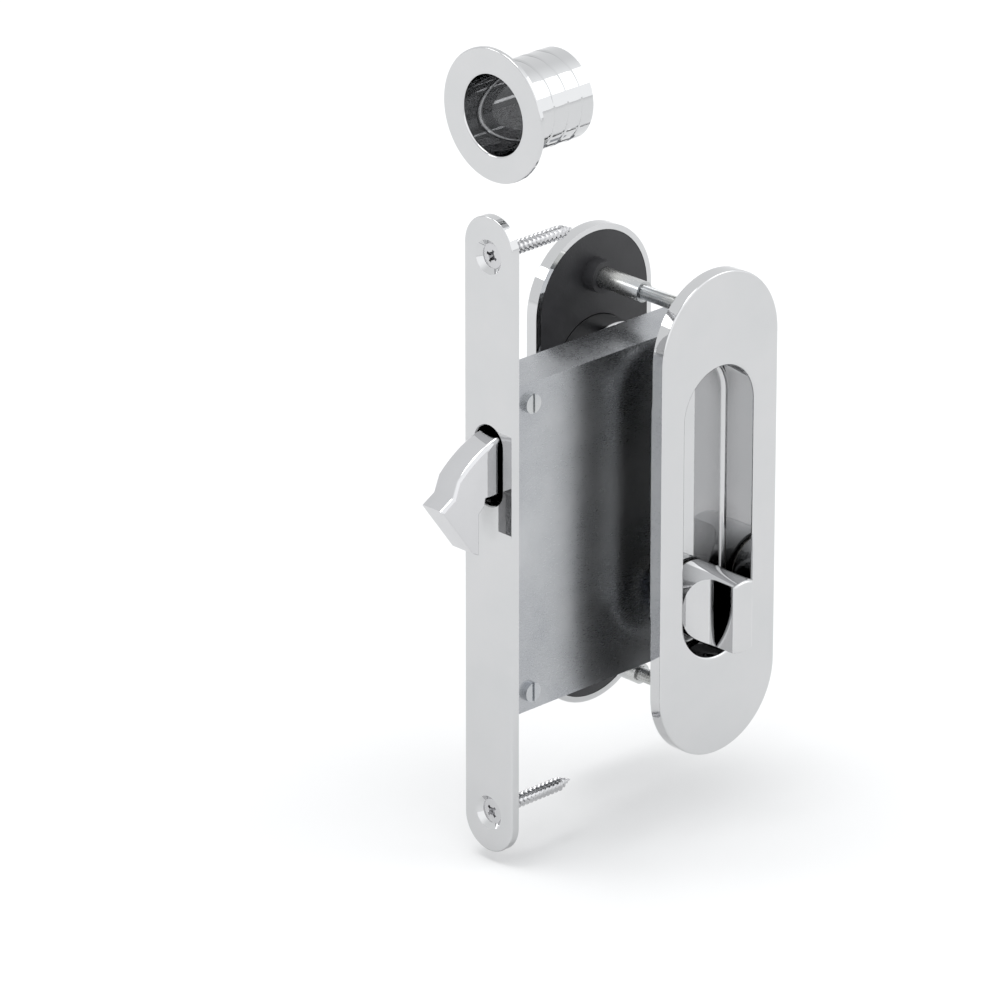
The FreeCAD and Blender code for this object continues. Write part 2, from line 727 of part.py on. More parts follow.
def make_case_body():
    body = doc.addObject("PartDesign::Body", "case_body")
    box = new_sketch(body, "XZ_Plane", "case_outline", lift="-case_half")
    draw_outline(
        box,
        [("0", "case_bottom"), ("case_depth", "case_bottom"), ("case_depth", "case_top"), ("0", "case_top")],
    )
    pad(body, "case_pad", box, "2 * case_half - case_wall")
    back = value_of("case_depth")
    dress(
        body,
        "PartDesign::Fillet",
        "back_corners",
        lambda edge: lies_between(edge, "X", back, back)
        and edge.BoundBox.YLength > 1
        and edge.BoundBox.ZLength < 1,
        "case_round",
    )
    inside = new_sketch(body, "XZ_Plane", "inside_outline", lift="case_half - case_wall")
    wall = "case_wall"
    draw_outline(
        inside,
        [
            (wall, f"case_bottom + {wall}"),
            (f"case_depth - {wall}", f"case_bottom + {wall}"),
            (f"case_depth - {wall}", f"case_top - {wall}"),
            (wall, f"case_top - {wall}"),
        ],
    )
    pocket(body, "inside_cut", inside, "2 * (case_half - case_wall)")
    slot = new_sketch(body, "YZ_Plane", "case_slot_outline", up="hook_slot_height")
    draw_stadium(slot, "case_slot_width", "hook_slot_length + 3")
    pocket(body, "case_slot", slot, "case_wall * 2", both_ways=True)
    for height in ("rivet_top", "rivet_bottom"):
        rivet = new_sketch(body, "YZ_Plane", f"{height}_outline", up=height)
        draw_circle(rivet, "rivet_radius")
        pocket(body, f"{height}_hole", rivet, "case_wall * 2", both_ways=True)
    for number, (across, height) in enumerate(case_pillars()):
        pillar = new_sketch(body, "XZ_Plane", f"pillar_{number}", across, height, "-(case_half - case_wall)")
        draw_circle(pillar, "pillar_radius")
        pad(body, f"pillar_pad_{number}", pillar, "2 * (case_half - case_wall)")
        hole = new_sketch(body, "XZ_Plane", f"pillar_hole_{number}", across, height, "case_half")
        draw_circle(hole, "cover_screw_radius + running_gap")
        pocket(body, f"pillar_bore_{number}", hole, "cover_screw_length + case_wall + 0.5")
    journal = new_sketch(body, "XZ_Plane", "journal_outline", "pull_place", "turn_height", "-case_half")
    draw_circle(journal, "journal_radius + running_gap")
    pocket(body, "journal_bore", journal, "case_wall * 2", both_ways=True)
    keep(body, "case_body")


def make_case_cover():
    body = doc.addObject("PartDesign::Body", "case_cover")
    sheet_metal = new_sketch(body, "XZ_Plane", "cover_outline", lift="case_half - case_wall")
    draw_outline(
        sheet_metal,
        [("0", "case_bottom"), ("case_depth", "case_bottom"), ("case_depth", "case_top"), ("0", "case_top")],
    )
    pad(body, "cover_pad", sheet_metal, "case_wall")
    back = value_of("case_depth")
    dress(
        body,
        "PartDesign::Fillet",
        "back_corners",
        lambda edge: lies_between(edge, "X", back, back)
        and edge.BoundBox.YLength > 1
        and edge.BoundBox.ZLength < 1,
        "case_round",
    )
    journal = new_sketch(body, "XZ_Plane", "journal_outline", "pull_place", "turn_height", "case_half")
    draw_circle(journal, "journal_radius + running_gap")
    pocket(body, "journal_bore", journal, "case_wall * 2", both_ways=True)
    for number, (across, height) in enumerate(case_pillars()):
        hole = new_sketch(body, "XZ_Plane", f"screw_hole_{number}", across, height, "case_half")
        draw_circle(hole, "cover_screw_radius + running_gap")
        pocket(body, f"screw_bore_{number}", hole, "case_wall * 2", both_ways=True)
    keep(body, "case_cover")


def make_cover_screws():
    screws = []
    for across, height in case_pillars():
        head = cylinder("cover_screw_head", "-case_half - 1.4", "1.4")
        shank = cylinder("cover_screw_radius", "-case_half", "cover_screw_length")
        drive = block("0.8", "2 * cover_screw_head + 1", "0.7", "-case_half - 1.4")
        screws.append(place(machined([head, shank], [drive]), (across, "0", height), "+Y"))
    group("case_cover_screws", screws)


# ---------------------------------------------------------------- gearing


def involute_turn(base, radius):
    """The angle by which an involute from a base circle has turned at a radius."""
    pressure = math.acos(min(base / radius, 1))
    return math.tan(pressure) - pressure


def gear_wire(teeth, numbers):
    """One closed wire round the root circle with the given teeth on it, tooth 0 pointing along +X."""
    module = value_of("gear_module")
    angle = math.radians(value_of("gear_pressure_angle"))
    pitch = teeth * module / 2
    base = pitch * math.cos(angle)
    tip = pitch + value_of("gear_addendum")
    root = pitch - value_of("gear_dedendum")
    half = (math.pi * module / 2 - value_of("gear_backlash") / 2) / 2 / pitch
    at_pitch = math.tan(angle) - angle
    start = max(base, root)

    def spot(radius, turn):
        return FreeCAD.Vector(radius * math.cos(turn), radius * math.sin(turn), 0)

    def flank(middle, side):
        points = []
        steps = 6
        for step in range(steps + 1):
            radius = start + (tip - start) * step / steps
            offset = half + at_pitch - involute_turn(base, radius)
            points.append(spot(radius, middle + side * offset))
        return points

    edges = []
    for number in numbers:
        middle = 2 * math.pi * number / teeth
        rising = flank(middle, -1)
        falling = list(reversed(flank(middle, 1)))
        foot = half + at_pitch - involute_turn(base, start)
        foot_in, foot_out = spot(root, middle - foot), spot(root, middle + foot)
        if root < start:
            edges.append(Part.LineSegment(foot_in, rising[0]).toShape())
        for points in (rising, falling):
            curve = Part.BSplineCurve()
            curve.interpolate(points)
            edges.append(curve.toShape())
            if points is rising:
                edges.append(Part.Arc(rising[-1], spot(tip, middle), falling[0]).toShape())
        if root < start:
            edges.append(Part.LineSegment(falling[-1], foot_out).toShape())
        following = numbers[(numbers.index(number) + 1) % len(numbers)]
        next_middle = 2 * math.pi * following / teeth
        if next_middle <= middle:
            next_middle += 2 * math.pi
        half_way = (middle + next_middle) / 2
        next_foot = spot(root, next_middle - foot)
        edges.append(Part.Arc(foot_out, spot(root, half_way), next_foot).toShape())
    return Part.Wire(edges)


def gear_solid(teeth, numbers, half_width):
    """A gear whose teeth stand round the Y axis, centred on Y = 0."""
    face = Part.Face(gear_wire(teeth, numbers))
    solid = face.extrude(FreeCAD.Vector(0, 0, 2 * half_width))
    solid.translate(FreeCAD.Vector(0, 0, -half_width))
    solid.rotate(FreeCAD.Vector(), ACROSS, 90)
    return solid


def rack_teeth(line, centre, low, high, facing, half_width):
    """Rack teeth on an upright pitch line. facing is -1 for teeth that point along -X, or 1."""
    module = value_of("gear_module")
    slope = math.tan(math.radians(value_of("gear_pressure_angle")))
    half = (math.pi * module / 2 - value_of("gear_backlash") / 2) / 2
    out = value_of("gear_addendum")
    back = value_of("gear_dedendum") + 0.3
    pitch = math.pi * module
    teeth = []
    number = math.ceil((low - centre) / pitch - 0.5)
    while centre + (number + 0.5) * pitch <= high:
        middle = centre + (number + 0.5) * pitch
        number += 1
        corners = [
            FreeCAD.Vector(line - facing * back, -half_width, middle - half - back * slope),
            FreeCAD.Vector(line + facing * out, -half_width, middle - half + out * slope),
            FreeCAD.Vector(line + facing * out, -half_width, middle + half - out * slope),
            FreeCAD.Vector(line - facing * back, -half_width, middle + half + back * slope),
        ]
        outline = Part.Face(Part.makePolygon(corners + corners[:1]))
        teeth.append(outline.extrude(FreeCAD.Vector(0, 2 * half_width, 0)))
    return Part.makeCompound(teeth)


def make_follower():
    """The pinion that the spindle turns, on journals that run in the two sides of the case."""
    teeth = int(value_of("follower_teeth"))
    wheel = shaped("follower_wheel", gear_solid(teeth, list(range(teeth)), value_of("follower_half")))
    collar_radius = "(follower_teeth * gear_module / 2 - gear_dedendum - 0.05)"
    inside = "(case_half - case_wall - running_gap)"
    collar = place(cylinder(collar_radius, f"-{inside}", f"2 * {inside}"), ("0", "0", "0"), "+Y")
    journal = place(cylinder("journal_radius", "-journal_end", "2 * journal_end"), ("0", "0", "0"), "+Y")
    square = block("socket_side", "socket_side", "4 * journal_end", "-2 * journal_end")
    socket = place(square, ("0", "0", "0"), "+Y")
    follower = machined([wheel, collar, journal], [socket])
    keep(place(follower, ("pull_place", "0", "turn_height")), "follower")


def make_hook():
    """A swinging hook. Its back is an arc about the pivot, so that it leaves the slot without rubbing."""
    body = doc.addObject("PartDesign::Body", "hook_blank")
    outline = new_sketch(body, "XZ_Plane", "hook_outline")
    shin = "case_wall + 0.9"
    rear = "pivot_place + 3.7"
    crown = "-18.1"
    rise = "sqrt(hook_back_radius * hook_back_radius - ({0} - pivot_place) * ({0} - pivot_place))"
    back_of = f"pivot_height + {rise}"
    corners = [
        ("-9.9", "-1.3"),
        ("-9.9", "10.4"),
        ("-7.9", "12.1"),
        ("-7.5", "14.2"),
        (f"{shin} - 2", "14.2", "2", -1),
        (shin, "12.2"),
        (shin, "pivot_height"),
        ("pivot_place", "pivot_height"),
        ("pivot_place + 4", "pivot_height + 8"),
        (rear, back_of.format(f"({rear})"), "hook_back_radius", 1),
        (crown, back_of.format(f"({crown})")),
        ("-20.1", "18.5"),
        ("-23.2", "14.9"),
        ("-12.0", "-0.3"),
    ]
    draw_outline(outline, corners)
    pad(body, "hook_pad", outline, "2 * hook_half", both_ways=True)
    half = value_of("hook_half")

    def on_a_side(edge):
        return lies_between(edge, "Y", half, half) or lies_between(edge, "Y", -half, -half)

    def on_back(edge):
        return on_a_side(edge) and edge.BoundBox.ZMin > 14.5 and edge.BoundBox.ZMax > 17

    def on_beak(edge):
        return on_a_side(edge) and edge.BoundBox.XMax < -7.6 and edge.BoundBox.ZMax < 14.95

    dress(body, "PartDesign::Fillet", "hook_back_round", on_back, "hook_round")
    dress(body, "PartDesign::Chamfer", "hook_beak_bevel", on_beak, "hook_bevel")

    teeth = int(value_of("hook_teeth"))
    step = 2 * math.pi / teeth
    turns = [-1.5 * step, 4.5 * step]
    depth = 2 * half
    spots = [FreeCAD.Vector(20 * math.cos(turn), -depth, 20 * math.sin(turn)) for turn in turns]
    crest = FreeCAD.Vector(40 * math.cos(sum(turns) / 2), -depth, 40 * math.sin(sum(turns) / 2))
    hinge = FreeCAD.Vector(0, -depth, 0)
    wedge = Part.Face(Part.makePolygon([hinge, spots[0], crest, spots[1], hinge]))
    wheel = gear_solid(teeth, list(range(teeth)), half)
    toothed = wheel.common(wedge.extrude(FreeCAD.Vector(0, 2 * depth, 0)))
    where = ("pivot_place", "0", "pivot_height")
    sector = place(shaped("hook_sector", toothed), where)
    hub = place(cylinder("hook_hub_radius", "-hook_half", "2 * hook_half"), where, "+Y")
    bore = place(cylinder("hook_bush_radius", "-2 * hook_half", "4 * hook_half"), where, "+Y")
    keep(machined([body, sector, hub], [bore]), "hook_bolt")


def make_hook_pivot():
    where = ("pivot_place", "0", "pivot_height")
    sleeve = cylinder("hook_bush_radius", "-hook_half", "2 * hook_half")
    bore = cylinder("pivot_pin_radius + running_gap", "-2 * hook_half", "4 * hook_half")
    keep(place(machined([sleeve], [bore]), where, "+Y"), "hook_bush")

    inside = "(case_half - case_wall)"
    pin = cylinder("pivot_pin_radius", f"-{inside}", f"2 * {inside}")
    keep(place(pin, where, "+Y"), "hook_pivot_pin")

    spacers = []
    for facing in ("+Y", "-Y"):
        start = "(hook_half + running_gap)"
        washer = cylinder("spacer_radius", start, f"{inside} - {start}")
        hole = cylinder("pivot_pin_radius + running_gap", "0", inside + " * 2")
        spacers.append(place(machined([washer], [hole]), where, facing))
    group("hook_spacers", spacers)


# ---------------------------------------------------------------- drive plate and detent


def make_drive_plate():
    """The plate that slides down as the follower turns, with a rack to the follower and one to the hook."""
    hook_line = "(pivot_place + hook_teeth * gear_module / 2)"
    turn_line = "(pull_place - follower_teeth * gear_module / 2)"
    left = f"({hook_line} + gear_dedendum)"
    right = f"({turn_line} - gear_dedendum)"
    shoulder = "33.5"
    column = "38.0"
    foot = "-36.0"
    body = doc.addObject("PartDesign::Body", "drive_blank")
    outline = new_sketch(body, "XZ_Plane", "drive_outline")
    corners = [
        (left, "-14.0"),
        (shoulder, "-14.0"),
        (column, "-15.5"),
        (column, foot),
        (right, foot),
        (right, "-12.5"),
        (shoulder, "-2.0"),
        (shoulder, "11.0"),
        (left, "11.0"),
    ]
    draw_outline(outline, corners)
    pad(body, "drive_pad", outline, "2 * drive_half", both_ways=True)
    for number in ("one", "two"):
        slot = new_sketch(
            body,
            "XZ_Plane",
            f"guide_slot_{number}",
            f"guide_{number}_place",
            f"guide_{number}_height + drive_travel / 2",
        )
        draw_stadium(slot, "guide_slot_width", "guide_slot_width + drive_travel + 0.3")
        pocket(body, f"guide_slot_cut_{number}", slot, both_ways=True)
    for shift in ("0", "drive_travel"):
        notch = new_sketch(body, "XZ_Plane", "detent_notch", column, f"detent_height + {shift}")
        draw_outline(notch, [("-1", "-2.9"), ("1.3", "0"), ("-1", "2.9")])
        pocket(body, "detent_notch_cut", notch, both_ways=True)

    half = value_of("drive_half")
    hook_rack = rack_teeth(value_of(hook_line), value_of("pivot_height"), -8.3, 10.6, -1, half)
    turn_rack = rack_teeth(value_of(turn_line), value_of("turn_height"), -35.0, -14.0, 1, half)
    racks = [shaped("hook_rack", hook_rack), shaped("turn_rack", turn_rack)]
    keep(fused([body] + racks), "drive_plate")


def make_guides():
    inside = "(case_half - case_wall)"
    gap = "(drive_half + running_gap)"
    posts, collars = [], []
    for number in ("one", "two"):
        where = (f"guide_{number}_place", "0", f"guide_{number}_height")
        shoulder = cylinder("guide_collar_radius", gap, f"{inside} - {gap}")
        post = cylinder("guide_radius", f"-{inside}", f"2 * {inside}")
        posts.append(place(fused([shoulder, post]), where, "+Y"))
        collar = cylinder("guide_collar_radius", gap, f"{inside} - {gap}")
        bore = cylinder("guide_radius + running_gap", "0", "2 * case_half")
        collars.append(place(machined([collar], [bore]), where, "-Y"))
    group("guide_posts", posts)
    group("guide_collars", collars)


def make_detent():
    """A leaf spring that clicks into a notch of the drive plate at each end of its travel."""
    root = FreeCAD.Vector(value_of("detent_post_place"), 0, value_of("detent_post_height"))
    nose = FreeCAD.Vector(value_of("detent_nose_place"), 0, value_of("detent_height"))
    knee = nose + FreeCAD.Vector(-1.15, 0, -1.9)
    middle = [root, knee, nose, nose + FreeCAD.Vector(-1.15, 0, 1.9), nose + FreeCAD.Vector(-2.3, 0, 2.9)]
    half, thick = value_of("detent_leaf_half"), value_of("detent_leaf_thick")
    near, far = [], []
    for index, spot in enumerate(middle):
        along = (middle[min(index + 1, len(middle) - 1)] - middle[max(index - 1, 0)]).normalize()
        side = FreeCAD.Vector(along.z, -half / (thick / 2), -along.x) * (thick / 2)
        near.append(spot + side)
        far.append(spot + FreeCAD.Vector(-side.x, side.y, -side.z))
    ring = near + far[::-1]
    leaf = Part.Face(Part.makePolygon(ring + ring[:1])).extrude(FreeCAD.Vector(0, 2 * half, 0))
    keep(shaped("detent_spring", leaf), "detent_spring")

    inside = "(case_half - case_wall)"
    post = place(
        cylinder("detent_post_radius", f"-{inside}", f"2 * {inside}"),
        ("detent_post_place", "0", "detent_post_height"),
        "+Y",
    )
    slit = place(
        block("detent_leaf_thick + 0.1", "2 * detent_leaf_half + 0.1", "2 * detent_post_radius", "-0.1"),
        ("detent_post_place", "0", "detent_post_height"),
    )
    lean = math.degrees(math.atan2(knee.x - root.x, knee.z - root.z))
    slit.Placement.Rotation = FreeCAD.Rotation(ALONG_Y, lean)
    keep(machined([post], [slit]), "detent_post")


# ---------------------------------------------------------------- build and write

make_faceplate()
make_faceplate_screws()
make_faceplate_rivets()
make_finger_pull()
make_pull_shell("front_pull_shell", -1)
make_pull_shell("rear_pull_shell", 1)
make_mounting_frame("front_mounting_frame", -1)
make_mounting_frame("rear_mounting_frame", 1)
make_through_bolts()
make_thumbturn()
make_release_button()
make_knob_bushes()
make_retaining_clips()
make_spindle()
make_case_body()
make_case_cover()
make_cover_screws()
make_follower()
make_hook()
make_hook_pivot()
make_drive_plate()
make_guides()
make_detent()
doc.recompute()

for item in doc.Objects:
    if {"Invalid", "Error"} & set(item.State):
        raise RuntimeError(f"{item.Label} failed: {item.State}")
for node in nodes:
    if node.Shape.isNull() or not node.Shape.isValid() or not node.Shape.Solids:
        raise RuntimeError(f"{node.Label} has no valid solid")

os.makedirs("parts", exist_ok=True)
for node in nodes:
    node.Shape.exportStep(f"parts/{node.Label}.step")
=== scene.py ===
import json
import math

import bmesh
import bpy
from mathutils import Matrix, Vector


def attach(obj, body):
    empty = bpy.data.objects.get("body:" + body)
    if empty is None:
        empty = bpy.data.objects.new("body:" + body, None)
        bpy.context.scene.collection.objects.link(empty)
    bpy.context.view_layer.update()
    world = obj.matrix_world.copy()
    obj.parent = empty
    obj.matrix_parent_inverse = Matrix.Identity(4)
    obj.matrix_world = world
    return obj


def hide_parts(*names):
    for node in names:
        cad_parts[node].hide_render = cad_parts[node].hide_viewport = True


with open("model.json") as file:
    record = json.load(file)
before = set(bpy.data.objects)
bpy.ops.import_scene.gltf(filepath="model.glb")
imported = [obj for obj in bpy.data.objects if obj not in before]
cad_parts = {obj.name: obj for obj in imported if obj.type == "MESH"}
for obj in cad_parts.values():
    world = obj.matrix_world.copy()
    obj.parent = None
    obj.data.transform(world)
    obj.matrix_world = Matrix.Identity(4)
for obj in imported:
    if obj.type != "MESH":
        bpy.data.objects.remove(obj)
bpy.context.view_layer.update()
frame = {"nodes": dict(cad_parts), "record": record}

# A chrome lock set for a sliding door, in the frame of its CAD model: +X into the door from its edge, +Z up,
# the thumbturn's side of the door along -Y. Sizes below are in millimetres until a mesh is made.

MM = 0.001
scene = bpy.context.scene
scene.view_settings.view_transform = "Standard"
scene.cycles.max_bounces = 24
scene.cycles.glossy_bounces = 24

FACE = 25.9  # how far the pulls' rims stand from the middle of the door
RECESS_FLOOR = 14.4
PULL_MIDDLE = 58.1
TURN_HEIGHT = -30.0
BOLT_HEIGHTS = (52.6, -58.9)
CUP_HEIGHT = 118.7
SCREW_HEIGHT = 79.8
PLATE_HALF, PLATE_REACH = 9.0, 82.0
SLOT_HEIGHT, SLOT_REACH = 20.9, 6.2


# ---------------------------------------------------------------- materials


def new_material(name):
    """A node material with one Principled surface, and a helper that adds and links nodes."""
    material = bpy.data.materials.new(name)
    material.use_nodes = True
    nodes, links = material.node_tree.nodes, material.node_tree.links
    surface = nodes["Principled BSDF"]

    def add(kind, inputs=None, **settings):
        node = nodes.new(kind)
        for key, value in settings.items():
            setattr(node, key, value)
        for key, value in (inputs or {}).items():
            if isinstance(value, bpy.types.NodeSocket):
                links.new(value, node.inputs[key])
            else:
                node.inputs[key].default_value = value
        return node

    return material, surface, add, links


def ramp(add, factor, stops):
    """A colour ramp of (position, colour) stops."""
    node = add("ShaderNodeValToRGB", {"Fac": factor})
    elements = node.color_ramp.elements
    for index, (position, colour) in enumerate(stops):
        element = elements[index] if index < 2 else elements.new(position)
        element.position = position
        element.color = colour if len(colour) == 4 else (*colour, 1.0)
    return node.outputs["Color"]


def span(add, factor, low, high):
    """Maps a factor of 0 to 1 onto a range."""
    return add("ShaderNodeMapRange", {"Value": factor, "To Min": low, "To Max": high}).outputs["Result"]


def metal(name, dark, light, rough, grain, stretch=(1, 1, 1), bump=0.02, blotch=60.0, corners=None):
    """A plated or bare metal: cloudy colour and roughness, with a fine directional grain in its relief.

    Deep corners get painted shade: ambient occlusion darkens the colour there, and "corners" is the share of the
    colour left in the deepest.
    """
    material, surface, add, links = new_material(name)
    place = add("ShaderNodeTexCoord").outputs["Object"]
    cloud = add("ShaderNodeTexNoise", {"Vector": place, "Scale": blotch, "Detail": 4.0, "Roughness": 0.55})
    turned = add("ShaderNodeMapping", {"Vector": place, "Scale": stretch})
    lines = add("ShaderNodeTexNoise", {"Vector": turned.outputs[0], "Scale": grain, "Detail": 3.0})
    colour = ramp(add, cloud.outputs["Fac"], [(0.3, dark), (0.7, light)])
    if corners is not None:
        # Painted shade: the base colour is darkened where ambient occlusion finds a cavity.
        depth = add("ShaderNodeAmbientOcclusion", {"Distance": 0.018}, samples=8)
        reach = {"Value": depth.outputs["AO"], "From Min": 0.12, "From Max": 0.6, "To Min": corners}
        shade_factor = add("ShaderNodeMapRange", reach)
        shaded_colour = add("ShaderNodeVectorMath", {0: colour, "Scale": shade_factor.outputs["Result"]}, operation="SCALE")
        colour = shaded_colour.outputs["Vector"]
    links.new(colour, surface.inputs["Base Color"])
    mixed = add("ShaderNodeMath", {0: cloud.outputs["Fac"], 1: lines.outputs["Fac"]}, operation="MULTIPLY")
    links.new(span(add, mixed.outputs[0], *rough), surface.inputs["Roughness"])
    relief = add("ShaderNodeBump", {"Height": lines.outputs["Fac"], "Strength": bump, "Distance": 0.00005})
    links.new(relief.outputs["Normal"], surface.inputs["Normal"])
    surface.inputs["Metallic"].default_value = 1.0
    return material


def plastic(name, dark, light, rough, grain=2500.0, bump=0.15):
    """A moulded plastic with a fine spark-eroded grain."""
    material, surface, add, links = new_material(name)
    place = add("ShaderNodeTexCoord").outputs["Object"]
    cloud = add("ShaderNodeTexNoise", {"Vector": place, "Scale": 90.0, "Detail": 3.0})
    pits = add("ShaderNodeTexVoronoi", {"Vector": place, "Scale": grain})
    links.new(ramp(add, cloud.outputs["Fac"], [(0.3, dark), (0.7, light)]), surface.inputs["Base Color"])
    links.new(span(add, cloud.outputs["Fac"], *rough), surface.inputs["Roughness"])
    relief = add("ShaderNodeBump", {"Height": pits.outputs["Distance"], "Strength": bump, "Distance": 0.0001})
    links.new(relief.outputs["Normal"], surface.inputs["Normal"])
    return material


MATERIALS = {
    "chrome_trim": metal(
        "chrome_trim", (0.575, 0.58, 0.585), (0.60, 0.60, 0.605), (0.02, 0.07), 900.0, bump=0.03, corners=0.2
    ),
    "hook_chrome": metal(
        "hook_chrome", (0.56, 0.56, 0.57), (0.60, 0.60, 0.61), (0.04, 0.12), 900.0, bump=0.05, corners=0.2
    ),
    "screw_chrome": metal(
        "screw_chrome", (0.50, 0.50, 0.51), (0.60, 0.60, 0.61), (0.08, 0.2), 1500.0, bump=0.08
    ),
    "zinc_steel": metal(
        "zinc_steel", (0.42, 0.44, 0.47), (0.60, 0.60, 0.58), (0.18, 0.45), 1400.0, (1, 1, 6), 0.2
    ),
    "case_steel": metal(
        "case_steel", (0.36, 0.37, 0.39), (0.50, 0.51, 0.52), (0.22, 0.5), 700.0, (1, 1, 9), 0.25, 35.0
    ),
    "sintered_steel": metal(
        "sintered_steel", (0.16, 0.16, 0.17), (0.27, 0.27, 0.28), (0.3, 0.6), 4000.0, bump=0.4
    ),
    "spring_steel": metal(
        "spring_steel", (0.13, 0.16, 0.24), (0.24, 0.25, 0.32), (0.15, 0.35), 1200.0, (1, 1, 5), 0.1
    ),
    "brass_wear": metal(
        "brass_wear", (0.50, 0.34, 0.12), (0.70, 0.50, 0.21), (0.12, 0.35), 1500.0, (1, 8, 1), 0.12
    ),
    "bush_nylon": plastic("bush_nylon", (0.66, 0.64, 0.58), (0.78, 0.76, 0.70), (0.35, 0.55)),
    "frame_plastic": plastic("frame_plastic", (0.012, 0.012, 0.014), (0.03, 0.03, 0.033), (0.4, 0.6)),
}

slots = {entry["node"]: entry["material_slot"] for entry in frame["record"]["subparts"]}


def dress(piece, slot_name):
    piece.data.materials.clear()
    piece.data.materials.append(MATERIALS[slot_name])


for node_name, piece in frame["nodes"].items():
    dress(piece, slots[node_name])


# ---------------------------------------------------------------- shapes

# A ring is a closed loop of (across, up, out) points. "Out" is the distance towards the viewer from the middle
# of the door, or from its edge: a projection puts the same ring on the door's front, rear or edge.


def front(across, up, out):
    return Vector((across, -out, up)) * MM


def rear(across, up, out):
    return Vector((across, out, up)) * MM


def edge(across, up, out):
    return Vector((-out, across, up)) * MM


def circle(radius, out, middle=(0.0, 0.0), steps=96):
    turns = [2 * math.pi * step / steps for step in range(steps)]
    return [(middle[0] + radius * math.cos(t), middle[1] + radius * math.sin(t), out) for t in turns]


def stadium(radius, reach, middle, out, steps=40):
    """An upright slot shape: half circles of a radius, centred a reach above and below the middle."""
    ring = []
    for end in (0, 1):
        for step in range(steps + 1):
            turn = math.pi * (end + step / steps)
            height = middle[1] + (1 - 2 * end) * reach + radius * math.sin(turn)
            ring.append((middle[0] + radius * math.cos(turn), height, out))
    return ring


def barred(radius, half_width, middle, out, steps=40, sides=12):
    """A disc cut off on both sides by an upright line."""
    half_width = min(half_width, radius * 0.9995)
    start = math.acos(half_width / radius)
    half_height = math.sqrt(radius**2 - half_width**2)
    ring = []
    for end in (1, -1):
        for step in range(steps + 1):
            turn = start + (math.pi - 2 * start) * step / steps
            across, up = end * radius * math.cos(turn), end * radius * math.sin(turn)
            ring.append((middle[0] + across, middle[1] + up, out))
        for step in range(1, sides):
            height = end * half_height * (1 - 2 * step / sides)
            ring.append((middle[0] - end * half_width, middle[1] + height, out))
    return ring


def quarter(start, end, out_first, steps=6):
    """(radius, out) points along a quarter round, which leaves its start along "out" or along the radius."""
    points = []
    for step in range(steps + 1):
        turn = math.pi / 2 * step / steps
        first, second = math.sin(turn), 1 - math.cos(turn)
        if out_first:
            first, second = 1 - math.cos(turn), math.sin(turn)
        points.append((start[0] + (end[0] - start[0]) * first, start[1] + (end[1] - start[1]) * second))
    return points


def mesh_piece(name, vertices, faces):
    mesh = bpy.data.meshes.new(name)
    mesh.from_pydata(vertices, [], faces)
    build = bmesh.new()
    build.from_mesh(mesh)
    bmesh.ops.remove_doubles(build, verts=build.verts, dist=1e-7)
    bmesh.ops.recalc_face_normals(build, faces=build.faces)
    build.to_mesh(mesh)
    build.free()
    piece = bpy.data.objects.new(name, mesh)
    scene.collection.objects.link(piece)
    return piece


def skin(name, rings, project):
    """A closed solid through a row of rings, capped by the first and the last."""
    count = len(rings[0])
    vertices = [project(*point) for ring in rings for point in ring]
    faces = [list(range(count)), list(range(len(vertices) - count, len(vertices)))]
    for row in range(len(rings) - 1):
        for step in range(count):
            after = (step + 1) % count
            faces.append(
                [row * count + step, row * count + after, (row + 1) * count + after, (row + 1) * count + step]
            )
    return mesh_piece(name, vertices, faces)


def settle(piece):
    """Keeps what the piece's modifiers make of it, and drops them."""
    bpy.context.view_layer.update()
    made = bpy.data.meshes.new_from_object(piece.evaluated_get(bpy.context.evaluated_depsgraph_get()))
    piece.modifiers.clear()
    piece.data = made


def cut(piece, *cutters):
    for cutter in cutters:
        modifier = piece.modifiers.new("cut", "BOOLEAN")
        modifier.solver = "EXACT"
        modifier.object = cutter
        settle(piece)
        bpy.data.objects.remove(cutter)
    return piece


def joined(name, pieces):
    """One object made of several, whose meshes stay apart."""
    build = bmesh.new()
    for piece in pieces:
        build.from_mesh(piece.data)
        bpy.data.objects.remove(piece)
    mesh = bpy.data.meshes.new(name)
    build.to_mesh(mesh)
    build.free()
    whole = bpy.data.objects.new(name, mesh)
    scene.collection.objects.link(whole)
    return whole


def show(piece, node_name, crease=28):
    """Finishes a piece that stands for a CAD node: smooth faces, crisp edges, its material and body."""
    piece.data.shade_smooth()
    piece.data.set_sharp_from_angle(angle=math.radians(crease))
    weighted = piece.modifiers.new("weighted", "WEIGHTED_NORMAL")
    weighted.keep_sharp = True
    weighted.weight = 100
    settle(piece)
    dress(piece, slots[node_name])
    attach(piece, next(body for body, members in bodies.items() if node_name in members))
    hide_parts(node_name)


bodies = frame["record"]["behaviour"]["bodies"]


# ---------------------------------------------------------------- faceplate, screws and finger pull


def faceplate():
    outline = [(PLATE_HALF, 0.0), (PLATE_HALF, 2.15)]
    outline += quarter((PLATE_HALF, 2.15), (8.65, 2.5), out_first=True)[1:]
    plate = skin("faceplate_visual", [stadium(radius, PLATE_REACH, (0, 0), out) for radius, out in outline], edge)
    slot = [(5.2, -1.0), (5.2, 2.2), (5.5, 2.51), (5.5, 3.0)]
    slot_rings = [stadium(radius, SLOT_REACH, (0, SLOT_HEIGHT), out) for radius, out in slot]
    cutters = [skin("slot", slot_rings, edge)]
    sink = [(2.6, -1.0), (2.6, 0.35), (4.75, 2.5), (5.25, 3.0)]
    for height in (SCREW_HEIGHT, -SCREW_HEIGHT):
        cutters.append(skin("sink", [circle(radius, out, (0, height)) for radius, out in sink], edge))
    show(cut(plate, *cutters), "faceplate")


